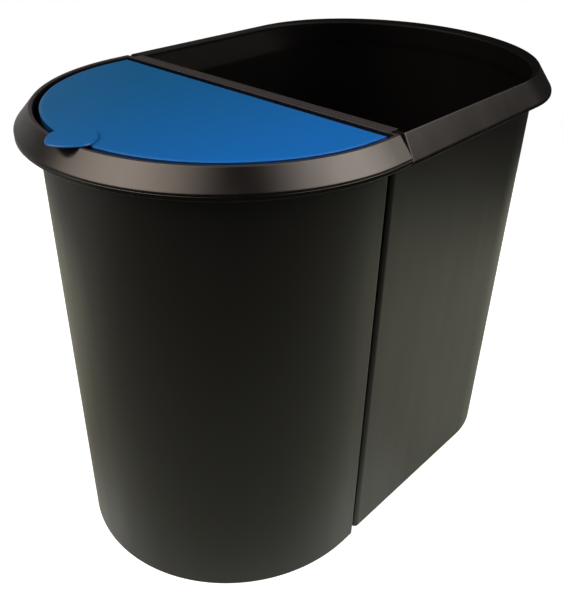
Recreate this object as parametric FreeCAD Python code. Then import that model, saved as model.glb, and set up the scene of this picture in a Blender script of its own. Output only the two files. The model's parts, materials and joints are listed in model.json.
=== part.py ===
import FreeCAD, Part
import math
import os

# A pair of waste bins that stand side by side and share one oval plan.
# The small D-shaped bin has a collar with a hinged lid. The collar's bar
# reaches over the flat wall of the large open bin and keeps the two together.
#
# Frame: millimetres, +Z up, X along the oval, Y across it. The origin lies on
# the floor, in the middle of the outline. The small bin is on the -X side.

# ---- plan of the shared mouth line (the peak of both rims) -----------------
MOUTH_HALF = 130.3      # half width across the mouth
SMALL_STRAIGHT = 14.2   # straight run of the small bin's sides, from the seam
SMALL_END = 135.5       # depth of the small bin's rounded end
PEAK_STRAIGHT = 156.6   # straight run of the large bin's sides, from the seam
PEAK_END = 119.2        # depth of the large bin's rounded end
LARGE_STRAIGHT = 167.2  # the same run for the large bin's wall and band
LARGE_END = 109.2       # depth of their rounded end
SEAM_GAP = 1.0          # gap between the ends of the two rims

# ---- heights and walls of both bins -----------------------------------------
HEIGHT = 350.0          # floor to the peak of both rims
WALL = 2.2              # walls and bottoms
DRAFT = 0.011           # slope of the curved walls, per unit of height
FOOT_EDGE = 1.2         # bevel along the bottom edge
FOOT_RING = 7.0         # width of the standing ring
FOOT_RECESS = 1.4       # hollow under the bottom, inside the standing ring
INNER_EDGE = 2.5        # bevel inside, between wall and bottom
RIM_WALL = 1.8          # thickness of rims, collar and its inner ring
RIM_CORNER = 0.8        # corners at the ends of the rims

# ---- large bin --------------------------------------------------------------
LARGE_INSET = 4.7       # wall's outer face inside the mouth line, at the top
LARGE_FLAT = 2.2        # flat wall's outer face to the seam, at the top
LARGE_LEAN = 2.0        # how far the flat wall draws in towards the floor
LARGE_CORNER_IN = 1.8   # inner radius of the corners at the flat wall
LARGE_BAND_OUT = 8.9    # reach of the sloping rim band
LARGE_BAND_DROP = 16.7  # drop of the sloping rim band
LARGE_SKIRT = 2.0       # upright edge below the band
OPEN_STRAIGHT = 150.0   # straight run of the rim's inner edge, from the seam
OPEN_END = 121.0        # depth of that edge's rounded end
OPEN_IN = 2.7           # that edge inside the peak, along the straight sides
OPEN_DROP = 2.0         # that edge below the peak
NECK_DROP = 4.5         # where the wall has widened to that edge, below the peak
FLARE_DROP = 18.0       # where the wall starts to widen, below the peak
LIP = 0.6               # flat top of the rim

# ---- small bin --------------------------------------------------------------
SMALL_INSET = 3.3       # wall's outer face inside the mouth line, at the top
SMALL_FLAT = 3.2        # flat wall's outer face to the seam, at the top
SMALL_LEAN = 2.5        # how far the flat wall comes back towards the seam
SMALL_CORNER_IN = 1.0   # inner radius of the corners at the flat wall
FLANGE = 2.0            # thickness of the rim flange
FLANGE_EDGE = 2.8       # height of the flange's outer edge

# ---- collar -----------------------------------------------------------------
BAND_OUT = 10.6         # reach of the sloping band
BAND_DROP = 12.0        # drop of the sloping band
BAND_SKIRT = 1.0        # upright edge below the band
COLLAR_LIP = 0.4        # flat top of the collar
SEAT_GAP = 0.4          # collar to the small bin's flange
RECESS_IN = 2.4         # recess wall inside the mouth line
RECESS_ROUND = 1.9      # height of the rounded shoulder of the recess
RECESS_CORNER = 1.5     # corners of the recess and the opening
LEDGE = 2.0             # thickness of the ledge round the opening
SPIGOT_DEPTH = 11.0     # depth of the ring that fits inside the small bin
SPIGOT_GAP = 0.4        # that ring to the small bin's wall
BAR_LEFT = 3.7          # bar's edge on the lid's side, to the seam
BAR_ROUND = 1.2         # width of that edge's rounding
BAR_TOP = 2.0           # thickness of the bar's top
BAR_BEVEL = 0.6         # bevel on the bar's other edge
SADDLE_GAP = 0.6        # bar to the top of the large bin's flat wall
HOOK = 2.1              # thickness of the hook
HOOK_GAP = 0.5          # hook to the flat wall
HOOK_DEPTH = 14.0       # depth of the hook
HOOK_SHORT = 4.0        # ends of the hook inside the ends of the bar
BAR_END = 7.8           # ends of the bar inside the mouth line
END_GAP = 0.7           # ends of the bar to the large bin

# ---- lid and its hinge --------------------------------------------------------
LID_IN = 6.8            # edge of the lid inside the mouth line
LID_SINK = 0.8          # top of the lid below the peak of the rims
LID_WALL = 2.0          # thickness of the lid
LID_DEPTH = 6.2         # top of the lid to the foot of its skirt
LID_ROUND = 0.8         # rounding of the lid's upper edge
LID_CORNER = 1.0        # corners of the lid at the hinge
BARREL = 4.6            # radius of the rolled edge at the hinge
BARREL_GAP = 1.0        # rolled edge to the bar
PIN = 1.5               # radius of the hinge pins
PIN_FIT = 0.08          # running clearance round the pins
PIN_REACH = 2.6         # length of the pins inside the collar
PIN_END_GAP = 0.4       # end of a pin to the end of its hole
BOSS_WALL = 1.7         # wall of the bosses that carry the pins
BOSS_LENGTH = 8.0       # length of those bosses

# ---- thumb tab and finger notch ----------------------------------------------
TAB_IN = 6.4            # tab's middle inside the tip of the mouth line
TAB_ACROSS = 16.4       # half width of the tab across the bin
TAB_ALONG = 16.8        # half width of the tab along the bin
TAB_WALL = 1.4          # thickness of the tab
TAB_GAP = 0.35          # tab to the collar's peak
TAB_ROUND = 0.9         # rounding of the tab's upper edge
NOTCH = 17.6            # radius of the finger notch
NOTCH_IN = 0.9          # notch's middle inside the tip of the mouth line
NOTCH_RISE = 14.0       # notch's middle above the peak of the rims

# ---- derived places -------------------------------------------------------------
SMALL = (-1, SMALL_STRAIGHT, SMALL_END)
LARGE = (1, LARGE_STRAIGHT, LARGE_END)
PEAK = (1, PEAK_STRAIGHT, PEAK_END)
OPENING = (1, OPEN_STRAIGHT, OPEN_END)
PAST = 1.0              # how far a cutting solid runs past what it cuts
ROUND_STEPS = 4         # levels in a rounded edge

SMALL_LENGTH = SMALL_STRAIGHT + SMALL_END + BAND_OUT
LARGE_LENGTH = LARGE_STRAIGHT + LARGE_END + LARGE_BAND_OUT
SEAM = (SMALL_LENGTH - LARGE_LENGTH) / 2
SMALL_RIM_X = SEAM - SEAM_GAP / 2
LARGE_RIM_X = SEAM + SEAM_GAP / 2
SMALL_CORNER = SMALL_CORNER_IN + WALL
LARGE_CORNER = LARGE_CORNER_IN + WALL
FLOOR_Z = FOOT_RECESS + WALL

LARGE_SKIRT_Z = HEIGHT - LARGE_BAND_DROP - LARGE_SKIRT
COLLAR_Z = HEIGHT - BAND_DROP - BAND_SKIRT
FLANGE_Z = COLLAR_Z - SEAT_GAP
LEDGE_Z = COLLAR_Z + LEDGE
SPIGOT_Z = COLLAR_Z - SPIGOT_DEPTH

BAR_X = SEAM - BAR_LEFT
BAR_HALF = MOUTH_HALF - BAR_END
HOOK_X = SEAM + LARGE_FLAT + WALL + HOOK_GAP
HINGE_X = BAR_X - BARREL_GAP - BARREL
LID_Z = HEIGHT - LID_SINK
HINGE_Z = LID_Z - BARREL
LID_FOOT_Z = LID_Z - LID_DEPTH
LID_BACK_X = HINGE_X + BARREL
RECESS_Y = MOUTH_HALF - RECESS_IN
LID_Y = MOUTH_HALF - LID_IN
TIP_X = SEAM - SMALL_STRAIGHT - SMALL_END


def vec(x, y, z):
    return FreeCAD.Vector(x, y, z)


def half_ellipse(x, along, across, z, side):
    """Half an ellipse round (x, 0), on the side of +X or -X."""
    centre = vec(x, 0, z)
    if along > across:
        curve = Part.Ellipse(vec(x + side * along, 0, z), vec(x, side * across, z), centre)
        return Part.Arc(curve, -math.pi / 2, math.pi / 2).toShape()
    curve = Part.Ellipse(vec(x, side * across, z), vec(x - side * along, 0, z), centre)
    return Part.Arc(curve, math.pi, 2 * math.pi).toShape()


def outline(corner, level):
    """Closed plan line of one bin: a half ellipse, straight sides and a flat wall.

    A level is (plan, z, offset, wall x), and a plan is (side, straight run,
    depth of the rounded end). The offset moves the curved side out from the
    plan's own line, and a negative one moves it in.
    """
    plan, z, offset, wall_x = level
    side, straight, end = plan
    mid_x = SEAM + side * straight
    half = MOUTH_HALF + offset
    turn_x = wall_x + side * corner
    turn_y = half - corner
    knee = corner * (1 - math.sqrt(0.5))
    knee_x = wall_x + side * knee
    edges = [half_ellipse(mid_x, end + offset, half, z, side)]
    for y in (-1, 1):
        start = vec(turn_x, y * half, z)
        middle = vec(knee_x, y * (half - knee), z)
        stop = vec(wall_x, y * turn_y, z)
        edges.append(Part.makeLine(vec(mid_x, y * half, z), start))
        edges.append(Part.Arc(start, middle, stop).toShape())
    edges.append(Part.makeLine(vec(wall_x, -turn_y, z), vec(wall_x, turn_y, z)))
    return Part.Wire(Part.__sortEdges__(edges))


def stack(corner, levels):
    """Solid through the plan lines of rising levels."""
    return Part.makeLoft([outline(corner, level) for level in levels], True, True)


def prism(plan, corner, offset, wall_x, low, high):
    return stack(corner, [(plan, low, offset, wall_x), (plan, high, offset, wall_x)])


def block(x0, x1, half_y, z0, z1):
    """Box that reaches half_y to both sides of the middle plane."""
    return Part.makeBox(x1 - x0, 2 * half_y, z1 - z0, vec(x0, -half_y, z0))


def rod(radius, x, z, y0, y1):
    """Round bar along Y."""
    return Part.makeCylinder(radius, y1 - y0, vec(x, y0, z), vec(0, 1, 0))


def both_ends(radius, y0, y1):
    """A pair of round bars on the hinge axis, one at each end."""
    return rod(radius, HINGE_X, HINGE_Z, y0, y1).fuse(rod(radius, HINGE_X, HINGE_Z, -y1, -y0))


def small_wall(z, inward=0.0):
    """Level of the small bin's wall, moved in from its outer face."""
    fall = HEIGHT - z
    wall_x = SEAM - SMALL_FLAT + SMALL_LEAN * fall / HEIGHT
    return SMALL, z, -(SMALL_INSET + DRAFT * fall + inward), wall_x - inward


def large_wall(z, inward=0.0):
    """Level of the large bin's wall, moved in from its outer face."""
    fall = HEIGHT - z
    wall_x = SEAM + LARGE_FLAT + LARGE_LEAN * fall / HEIGHT
    return LARGE, z, -(LARGE_INSET + DRAFT * fall + inward), wall_x + inward


def foot_levels(wall):
    return [wall(0.0, FOOT_EDGE), wall(FOOT_EDGE)]


def floor_levels(wall):
    return [wall(FLOOR_Z, WALL + INNER_EDGE), wall(FLOOR_Z + INNER_EDGE, WALL)]


def foot_hollow(corner, wall):
    """Space under the bottom, inside the standing ring."""
    plan, z, offset, wall_x = wall(0.0, FOOT_RING)
    return prism(plan, corner, offset, wall_x, -PAST, FOOT_RECESS)


def under_band(low_plan, top_plan, wall_x, out, drop, top_offset, low):
    """Hollow below a sloping band, RIM_WALL thick, up to where it is top_offset out."""
    slope = out / drop
    shift = RIM_WALL * math.hypot(1, slope)
    top_z = HEIGHT - (top_offset + shift) / slope
    return stack(RIM_CORNER, [
        (low_plan, low - PAST, out - shift, wall_x),
        (low_plan, HEIGHT - drop, out - shift, wall_x),
        (top_plan, top_z, top_offset, wall_x),
    ])


def make_large_bin():
    top_x = large_wall(HEIGHT)[-1]
    rim = stack(RIM_CORNER, [
        (LARGE, LARGE_SKIRT_Z, LARGE_BAND_OUT, LARGE_RIM_X),
        (LARGE, HEIGHT - LARGE_BAND_DROP, LARGE_BAND_OUT, LARGE_RIM_X),
        (PEAK, HEIGHT, 0.0, LARGE_RIM_X),
    ])
    plate_x = LARGE_RIM_X + RIM_WALL
    rim = rim.cut(under_band(LARGE, PEAK, plate_x, LARGE_BAND_OUT, LARGE_BAND_DROP, 0.0, LARGE_SKIRT_Z))
    # the rim's end plates stay at the two corners only
    plate_y = MOUTH_HALF - LARGE_INSET - LARGE_CORNER
    rim = rim.cut(block(LARGE_RIM_X - PAST, top_x, plate_y, LARGE_SKIRT_Z - PAST, HEIGHT + PAST))
    body = stack(LARGE_CORNER, foot_levels(large_wall) + [
        large_wall(HEIGHT - FLARE_DROP),
        (OPENING, HEIGHT - NECK_DROP, WALL - OPEN_IN, top_x),
        (OPENING, HEIGHT, WALL - OPEN_IN, top_x),
    ])
    inner_x = top_x + WALL
    inside = stack(LARGE_CORNER_IN, floor_levels(large_wall) + [
        large_wall(HEIGHT - FLARE_DROP, WALL),
        (OPENING, HEIGHT - NECK_DROP, -OPEN_IN, inner_x),
        (OPENING, HEIGHT - OPEN_DROP, -OPEN_IN, inner_x),
        (PEAK, HEIGHT, -LIP, inner_x),
        (PEAK, HEIGHT + PAST, -LIP, inner_x),
    ])
    # the flat wall stops below the collar's bar
    saddle_z = HEIGHT - BAR_TOP - SADDLE_GAP
    saddle = block(LARGE_RIM_X - PAST, inner_x + PAST, BAR_HALF + END_GAP, saddle_z, HEIGHT + PAST)
    return body.fuse(rim).cut(inside).cut(saddle).cut(foot_hollow(LARGE_CORNER_IN, large_wall))


def make_small_bin():
    edge_z = FLANGE_Z - FLANGE_EDGE
    flange = prism(SMALL, RIM_CORNER, BAND_OUT, SMALL_RIM_X, edge_z, FLANGE_Z)
    hollow = prism(SMALL, RIM_CORNER, BAND_OUT - RIM_WALL, SMALL_RIM_X - RIM_WALL, edge_z - PAST, FLANGE_Z - FLANGE)
    body = stack(SMALL_CORNER, foot_levels(small_wall) + [small_wall(FLANGE_Z)])
    inside = stack(SMALL_CORNER_IN, floor_levels(small_wall) + [small_wall(FLANGE_Z + PAST, WALL)])
    return body.fuse(flange.cut(hollow)).cut(inside).cut(foot_hollow(SMALL_CORNER_IN, small_wall))


def recess_levels():
    """Levels of the lid's recess, with a rounded shoulder up to the collar's top."""
    levels = [(SMALL, LEDGE_Z, -RECESS_IN, BAR_X)]
    for step in range(ROUND_STEPS):
        turn = math.pi / 2 * step / (ROUND_STEPS - 1)
        open_up = 1 - math.cos(turn)
        z = HEIGHT - RECESS_ROUND * (1 - math.sin(turn))
        offset = -RECESS_IN + (RECESS_IN - COLLAR_LIP) * open_up
        levels.append((SMALL, z, offset, BAR_X + BAR_ROUND * open_up))
    return levels + [(SMALL, HEIGHT + PAST, -COLLAR_LIP, BAR_X + BAR_ROUND)]


def make_bar():
    """Bar between the bins, with the hook that reaches into the large bin."""
    end_x = HOOK_X + HOOK
    top_z = HEIGHT - BAR_TOP
    profile = [
        (BAR_X, top_z), (BAR_X, HEIGHT), (end_x - BAR_BEVEL, HEIGHT),
        (end_x, HEIGHT - BAR_BEVEL), (end_x, top_z), (BAR_X, top_z),
    ]
    wire = Part.makePolygon([vec(x, -BAR_HALF, z) for x, z in profile])
    bar = Part.Face(wire).extrude(vec(0, 2 * BAR_HALF, 0))
    return bar.fuse(block(HOOK_X, end_x, BAR_HALF - HOOK_SHORT, HEIGHT - HOOK_DEPTH, HEIGHT - BAR_TOP / 2))


def notch_ball(radius):
    return Part.makeSphere(radius, vec(TIP_X + NOTCH_IN, 0, HEIGHT + NOTCH_RISE))


def make_collar():
    collar = stack(RIM_CORNER, [
        (SMALL, COLLAR_Z, BAND_OUT, SMALL_RIM_X),
        (SMALL, HEIGHT - BAND_DROP, BAND_OUT, SMALL_RIM_X),
        (SMALL, HEIGHT, 0.0, SMALL_RIM_X),
    ])
    # the band is a thin wall outside the recess
    skin = -RECESS_IN + RIM_WALL
    hole_end = RECESS_Y + PIN_REACH + PIN_END_GAP
    core = prism(SMALL, RIM_CORNER, skin, BAR_X + RIM_WALL, COLLAR_Z - 2 * PAST, HEIGHT)
    leg_x = SMALL_RIM_X - RIM_WALL
    hollow = under_band(SMALL, SMALL, leg_x, BAND_OUT, BAND_DROP, skin, COLLAR_Z).cut(core)
    hollow = hollow.cut(both_ends(PIN + PIN_FIT + BOSS_WALL, RECESS_Y, hole_end + BOSS_WALL))
    hollow = hollow.cut(notch_ball(NOTCH + RIM_WALL))
    collar = collar.cut(hollow)
    # the bar's leg is as thin as the rest
    collar = collar.cut(block(BAR_X + RIM_WALL, SMALL_RIM_X + PAST, BAR_HALF, COLLAR_Z - PAST, HEIGHT - BAR_TOP))
    # ring that fits inside the small bin
    spigot_out = small_wall(SPIGOT_Z, WALL + SPIGOT_GAP)[-2]
    spigot_x = small_wall(FLANGE_Z, WALL + SPIGOT_GAP)[-1]
    open_out = spigot_out - RIM_WALL
    open_x = spigot_x - RIM_WALL
    spigot = prism(SMALL, RECESS_CORNER + RIM_WALL, spigot_out, spigot_x, SPIGOT_Z, COLLAR_Z + LEDGE / 2)
    collar = collar.fuse(spigot).fuse(make_bar())
    collar = collar.cut(prism(SMALL, RECESS_CORNER, open_out, open_x, SPIGOT_Z - PAST, LEDGE_Z + PAST))
    collar = collar.cut(stack(RECESS_CORNER, recess_levels()))
    collar = collar.cut(both_ends(PIN + PIN_FIT, RECESS_Y - PAST, hole_end))
    return collar.cut(notch_ball(NOTCH))


def tab_line(inset, z):
    """Oval plan line of the thumb tab."""
    x = TIP_X + TAB_IN
    halves = [half_ellipse(x, TAB_ALONG - inset, TAB_ACROSS - inset, z, side) for side in (-1, 1)]
    return Part.Wire(Part.__sortEdges__(halves))


def rounded_edge(height, size):
    """Steps (inset, z) of a rounded upper edge that ends at the given height."""
    steps = []
    for step in range(ROUND_STEPS):
        turn = math.pi / 2 * step / (ROUND_STEPS - 1)
        steps.append((size * (1 - math.cos(turn)), height - size * (1 - math.sin(turn))))
    return steps


def make_tab():
    """Thumb tab, with its root in the lid."""
    low = HEIGHT + TAB_GAP
    high = low + TAB_WALL
    lines = [tab_line(0.0, low)] + [tab_line(inset, z) for inset, z in rounded_edge(high, TAB_ROUND)]
    pad = Part.makeLoft(lines, True, True)
    root_z = LID_Z - LID_WALL / 2
    root = Part.makeLoft([tab_line(0.0, root_z), tab_line(0.0, low + TAB_GAP)], True, True)
    inside_lid = prism(SMALL, LID_CORNER, -LID_IN, LID_BACK_X, LID_FOOT_Z, high)
    return pad.fuse(root.common(inside_lid))


def make_lid():
    levels = [(SMALL, LID_FOOT_Z, -LID_IN, LID_BACK_X)]
    levels += [(SMALL, z, -LID_IN - inset, LID_BACK_X) for inset, z in rounded_edge(LID_Z, LID_ROUND)]
    solid = stack(LID_CORNER, levels)
    hollow_x = LID_BACK_X - LID_WALL
    cavity = prism(SMALL, LID_CORNER, -LID_IN - LID_WALL, hollow_x, LID_FOOT_Z - PAST, LID_Z - LID_WALL)
    # behind the hinge axis the lid is rolled round that axis
    ahead = block(TIP_X - PAST, HINGE_X, MOUTH_HALF, LID_FOOT_Z - PAST, LID_Z + PAST)
    rolled = ahead.fuse(rod(BARREL, HINGE_X, HINGE_Z, -MOUTH_HALF, MOUTH_HALF))
    rolled_in = ahead.fuse(rod(BARREL - LID_WALL, HINGE_X, HINGE_Z, -MOUTH_HALF, MOUTH_HALF))
    lid = solid.common(rolled).cut(cavity.common(rolled_in))
    lid = lid.fuse(both_ends(PIN + BOSS_WALL, LID_Y - BOSS_LENGTH, LID_Y))
    lid = lid.fuse(both_ends(PIN, LID_Y - BOSS_LENGTH / 2, RECESS_Y + PIN_REACH))
    return lid.fuse(make_tab())


PIECES = {
    "large_bin": make_large_bin,
    "small_bin": make_small_bin,
    "lid_collar": make_collar,
    "lid": make_lid,
}

os.makedirs("parts", exist_ok=True)
for name, make in PIECES.items():
    shape = make().removeSplitter()
    box = shape.optimalBoundingBox(False)
    print(name, "solids", len(shape.Solids), "valid", shape.isValid(), "volume", round(shape.Volume))
    print("   x", round(box.XMin, 2), round(box.XMax, 2), "y", round(box.YMin, 2), round(box.YMax, 2),
          "z", round(box.ZMin, 2), round(box.ZMax, 2))
    if len(shape.Solids) == 1:
        shape = shape.Solids[0]
    shape.exportStep(os.path.join("parts", name + ".step"))
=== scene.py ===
# %% [markdown]
# # A double recycling bin, dressed around its solids
#
# The object is a pair of black plastic bins on one oval plan. The large bin is
# open. The small one has a D-shaped plan, a collar on its rim and a blue lid
# with a thumb tab. The solids already give every size, so this script only
# draws the same four pieces again with soft edges, and gives them their finish.
# Where a form lies a millimetre or two off its solid, such as the lid's crowned
# edge, the photograph asked for it and the text says so.

# %% Load the frame
import json
import math

import bmesh
import bpy
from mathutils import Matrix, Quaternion, Vector


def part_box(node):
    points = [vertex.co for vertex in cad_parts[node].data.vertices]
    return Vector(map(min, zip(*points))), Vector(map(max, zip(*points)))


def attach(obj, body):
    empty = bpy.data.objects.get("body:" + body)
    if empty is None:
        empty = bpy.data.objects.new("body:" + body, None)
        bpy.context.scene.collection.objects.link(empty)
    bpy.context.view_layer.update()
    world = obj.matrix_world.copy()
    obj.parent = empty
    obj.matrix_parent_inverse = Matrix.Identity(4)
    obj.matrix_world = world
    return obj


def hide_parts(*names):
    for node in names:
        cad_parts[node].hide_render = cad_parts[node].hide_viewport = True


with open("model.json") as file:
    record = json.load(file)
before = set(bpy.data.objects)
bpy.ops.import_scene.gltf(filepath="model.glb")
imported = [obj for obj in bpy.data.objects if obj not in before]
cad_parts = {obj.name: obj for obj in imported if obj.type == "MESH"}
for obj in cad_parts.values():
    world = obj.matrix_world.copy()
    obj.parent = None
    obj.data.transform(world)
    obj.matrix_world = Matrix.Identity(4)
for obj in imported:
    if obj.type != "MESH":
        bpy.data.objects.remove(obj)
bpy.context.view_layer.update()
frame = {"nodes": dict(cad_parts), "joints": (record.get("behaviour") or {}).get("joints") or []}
print("pieces of the frame:", sorted(frame["nodes"]))

# %% [markdown]
# ## Where everything is
#
# Each place comes from the boxes of the solids: the seam lies between the two
# rims, and the tips of the two bins are the ends of the oval. Only the steps of
# the mouldings are written here as numbers, in millimetres, because a moulding
# is drawn that way.

# %% Places from the frame
MM = 0.001
large_low, large_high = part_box("large_bin")
small_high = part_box("small_bin")[1]
collar_low, collar_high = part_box("lid_collar")
lid_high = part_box("lid")[1]
hinge = next(j for j in frame["joints"] if j["type"] == "hinge")

PEAK_Z = large_high.z
SEAM_X = (large_low.x + small_high.x) / 2
LARGE_RIM_X = large_low.x
SMALL_RIM_X = small_high.x
HINGE_X, HINGE_Z = hinge["pos_m"][0], hinge["pos_m"][2]
print("seam at", round(SEAM_X, 4), "peak at", round(PEAK_Z, 4), "hinge at", HINGE_X, HINGE_Z)

# %% [markdown]
# The plan of a bin is two straight sides and half an ellipse. The large bin has
# three such lines: the wall's, and rounder ones at the peak and the inner edge
# of its rim.

# %% Plan lines
COLLAR_OUT = 10.6 * MM      # reach of the collar's sloping band
COLLAR_DROP = 12.0 * MM     # drop of that band
LARGE_OUT = 8.9 * MM        # reach of the large bin's sloping band
LARGE_DROP = 16.7 * MM      # drop of that band
HALF = collar_high.y - COLLAR_OUT
SMALL_STRAIGHT = 14.2 * MM  # straight run of the small bin's sides, from the seam
LARGE_STRAIGHT = 167.2 * MM  # the same of the large bin's wall,
PEAK_STRAIGHT = 156.6 * MM  # of the peak of its rim,
OPEN_STRAIGHT = 150.0 * MM  # and of the rim's inner edge
SMALL_END = SEAM_X - collar_low.x - COLLAR_OUT - SMALL_STRAIGHT
LARGE_END = large_high.x - LARGE_OUT - SEAM_X - LARGE_STRAIGHT
PEAK_END = 119.2 * MM       # depth of the rounded end at the peak,
OPEN_END = 121.0 * MM       # and at the rim's inner edge
TIP_X = collar_low.x + COLLAR_OUT
SKIRT_Z = PEAK_Z - LARGE_DROP - 2.0 * MM
WALL = 2.2 * MM             # walls and bottoms
THIN = 1.8 * MM             # rims, collar and its inner ring
DRAFT = 0.011               # slope of the curved walls
print("half width", round(HALF, 4), "ends", round(SMALL_END, 4), round(LARGE_END, 4))

# %% [markdown]
# ## Sections
#
# A bin is one section drawn round one plan line. A corner of the section says
# where it lies on the curved side (`out` from the plan line and `z`), where it
# lies on the flat wall, and how tight the plan's own corners are there. Every
# corner gets a small round, because a moulding has no sharp edge, and that
# round is what catches the light.

# %% A section and its rounds
FIELDS = ("out", "z", "wall_x", "wall_z", "flat_x", "flat_z",
          "corner", "peak", "opening", "spread")
EDGE_CORNER = 0.8 * MM


def corner(out, z, wall_x, soft=0.0, **other):
    """One corner of a section. `soft` is how far its round reaches to each side."""
    point = {"out": out, "z": z, "wall_x": wall_x, "wall_z": z, "corner": EDGE_CORNER,
             "peak": 0.0, "opening": 0.0, "spread": 1.0}
    point.update(other)
    point.setdefault("flat_x", point["wall_x"])
    point.setdefault("flat_z", point["wall_z"])
    return soft, [point[name] for name in FIELDS]


def mix(a, b, share):
    return [x + (y - x) * share for x, y in zip(a, b)]


def reach(a, b):
    """Distance between two corners, on the curved side or on the flat wall."""
    on_curve = math.hypot(b[0] - a[0], b[1] - a[1])
    on_flat = math.hypot(b[2] - a[2], b[3] - a[3])
    return max(on_curve, on_flat, 1e-6)


def rounded(corners, steps=4, closed=False):
    """The section's points, with a round of a few steps at each soft corner."""
    points = []
    count = len(corners)
    for i, (soft, here) in enumerate(corners):
        inner = closed or 0 < i < count - 1
        if soft == 0.0 or not inner:
            points.append(here)
            continue
        before, after = corners[i - 1][1], corners[(i + 1) % count][1]
        start = mix(here, before, min(0.5, soft / reach(here, before)))
        stop = mix(here, after, min(0.5, soft / reach(here, after)))
        for step in range(steps + 1):
            t = step / steps
            points.append(mix(mix(start, here, t), mix(here, stop, t), t))
    if closed:
        points.append(points[0])
    return points


def between(a, b, count):
    """Plain rows on the way from one corner to another, for a face that bends later."""
    return [(0.0, mix(a[1], b[1], (i + 1) / (count + 1))) for i in range(count)]


# %% [markdown]
# ## Formulas as plain Python
#
# A node tree that places points needs dozens of Math nodes. This small class
# stands for one number inside a tree, and makes a Math node each time it is
# added, multiplied or compared, so that a formula can be read as a formula.

# %% A number inside a node tree
def new_node(tree, kind, **values):
    """A new node with some of its inputs set."""
    made = tree.nodes.new(kind)
    for name, value in values.items():
        made.inputs[name].default_value = value
    return made


class Number:
    def __init__(self, tree, socket):
        self.tree = tree
        self.socket = socket

    def node(self, operation, *others):
        node = self.tree.nodes.new("ShaderNodeMath")
        node.operation = operation
        for slot, value in zip(node.inputs, (self, *others)):
            if isinstance(value, Number):
                value.to(slot)
            else:
                slot.default_value = value
        return Number(self.tree, node.outputs[0])

    def to(self, slot):
        """Links this number to an input."""
        self.tree.links.new(self.socket, slot)

    def __add__(self, other):
        return self.node("ADD", other)

    def __sub__(self, other):
        return self.node("SUBTRACT", other)

    def __mul__(self, other):
        return self.node("MULTIPLY", other)

    def __truediv__(self, other):
        return self.node("DIVIDE", other)

    def below(self, other):
        """1 where this number is the smaller one, and otherwise 0."""
        return self.node("LESS_THAN", other)

    def least(self, other):
        return self.node("MINIMUM", other)

    def unit(self):
        """This number, kept between 0 and 1."""
        return self.least(1.0).node("MAXIMUM", 0.0)

    def sine(self):
        return self.node("SINE")

    def cosine(self):
        return self.node("COSINE")

    def choose(self, yes, no):
        """`yes` where this number is 1, `no` where it is 0."""
        return self * (yes - no) + no


# %% [markdown]
# ## One tree for every shell
#
# All four pieces follow the same rule: a half ellipse, two straight sides and a
# flat wall. So one Geometry Nodes tree draws them. It takes the section as a
# small mesh, one point for each step, spreads a grid over section and plan, and
# moves every grid point to its place with a formula. First come the tree's
# inputs and the two ends of its work: reading the section, and placing the grid.

# %% Inputs and ends of the tree
PLAN_SIZES = ("Side", "Seam", "Half Width", "Straight Run", "End Depth",
              "Peak Straight Run", "Peak End Depth",
              "Opening Straight Run", "Opening End Depth", "Bar Half Length")
PLAN_INPUTS = (("Section", "NodeSocketGeometry"),
               *((name, "NodeSocketFloat") for name in PLAN_SIZES),
               ("End Steps", "NodeSocketInt"), ("Corner Steps", "NodeSocketInt"),
               ("Plastic", "NodeSocketMaterial"))
WELD = 0.02 * MM


def read_section(tree, section, row):
    """The section's own values for a row of the grid, in the order of FIELDS."""
    values = []
    for name in FIELDS:
        attribute = new_node(tree, "GeometryNodeInputNamedAttribute", Name=name)
        sample = tree.nodes.new("GeometryNodeSampleIndex")
        tree.links.new(section, sample.inputs["Geometry"])
        tree.links.new(attribute.outputs["Attribute"], sample.inputs["Value"])
        row.to(sample.inputs["Index"])
        values.append(Number(tree, sample.outputs["Value"]))
    return values


def place_grid(tree, grid, place, plastic):
    """Moves the grid's points to their place, welds what meets and gives it its plastic."""
    new, link = tree.nodes.new, tree.links.new
    point = new("ShaderNodeCombineXYZ")
    for value, slot in zip(place, point.inputs):
        value.to(slot)
    move = new("GeometryNodeSetPosition")
    link(grid.outputs["Mesh"], move.inputs["Geometry"])
    link(point.outputs[0], move.inputs["Position"])
    weld = new_node(tree, "GeometryNodeMergeByDistance", Distance=WELD)
    link(move.outputs[0], weld.inputs["Geometry"])
    realize = new("GeometryNodeRealizeInstances")
    link(weld.outputs[0], realize.inputs[0])
    dress = new("GeometryNodeSetMaterial")
    link(realize.outputs[0], dress.inputs["Geometry"])
    link(plastic, dress.inputs["Material"])
    link(dress.outputs[0], new("NodeGroupOutput").inputs["Shell"])


print("inputs of the tree:", len(PLAN_INPUTS))

# %% [markdown]
# The columns of the grid go once round the plan: half the rounded end, a corner,
# the flat wall, and the same again as a mirror image. Each column knows which of
# these it belongs to, and takes its place from that part's own formula.

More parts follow.
